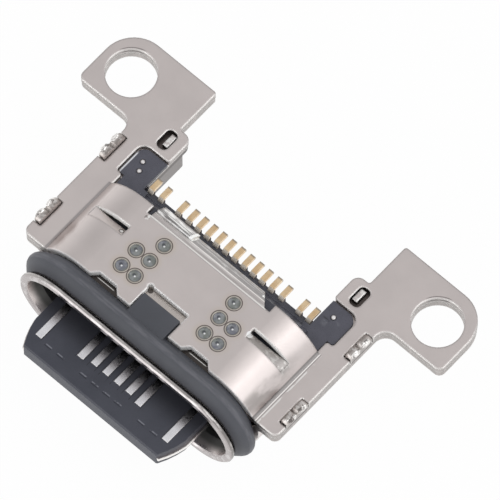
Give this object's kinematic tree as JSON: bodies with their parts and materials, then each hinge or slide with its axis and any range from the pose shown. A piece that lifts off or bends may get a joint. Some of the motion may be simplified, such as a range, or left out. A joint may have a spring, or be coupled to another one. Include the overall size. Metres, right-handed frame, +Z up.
{
  "type": "usb-c socket",
  "caption": "USB-C socket in a formed sheet-metal housing with two screw ears, a rubber seal behind the flared mouth, a long bare tongue and a row of solder tails.",
  "frame": {"origin": "centre of the plug mouth, in the front plane of the shell's lip", "axes": "+X to the right ear as seen from behind the mouth, +Y from the mouth to the solder tails, +Z up through the cover plate"},
  "size_m": [0.0158, 0.0107, 0.004],
  "materials": {
    "sheet_steel": "satin nickel-plated sheet",
    "shell_steel": "satin nickel-plated drawn steel",
    "seal_rubber": "smooth dark grey silicone",
    "insulator_plastic": "dark glass-filled plastic",
    "tongue_plastic": "dark blue-grey moulded plastic",
    "gold_plating": "thin gold plating"
  },
  "bodies": {
    "root": {"inner_shell": "shell_steel", "seal_ring": "seal_rubber", "cover_plate": "sheet_steel", "lower_plate": "sheet_steel", "insulator_body": "insulator_plastic", "tongue_moulding": "tongue_plastic", "mid_plate": "shell_steel", "contact_a1": "gold_plating", "contact_a4": "gold_plating", "contact_a5": "gold_plating", "contact_a6": "gold_plating", "contact_a7": "gold_plating", "contact_a8": "gold_plating", "contact_a9": "gold_plating", "contact_a12": "gold_plating", "contact_b1": "gold_plating", "contact_b4": "gold_plating", "contact_b5": "gold_plating", "contact_b6": "gold_plating", "contact_b7": "gold_plating", "contact_b8": "gold_plating", "contact_b9": "gold_plating", "contact_b12": "gold_plating"}
  },
  "joints": []
}
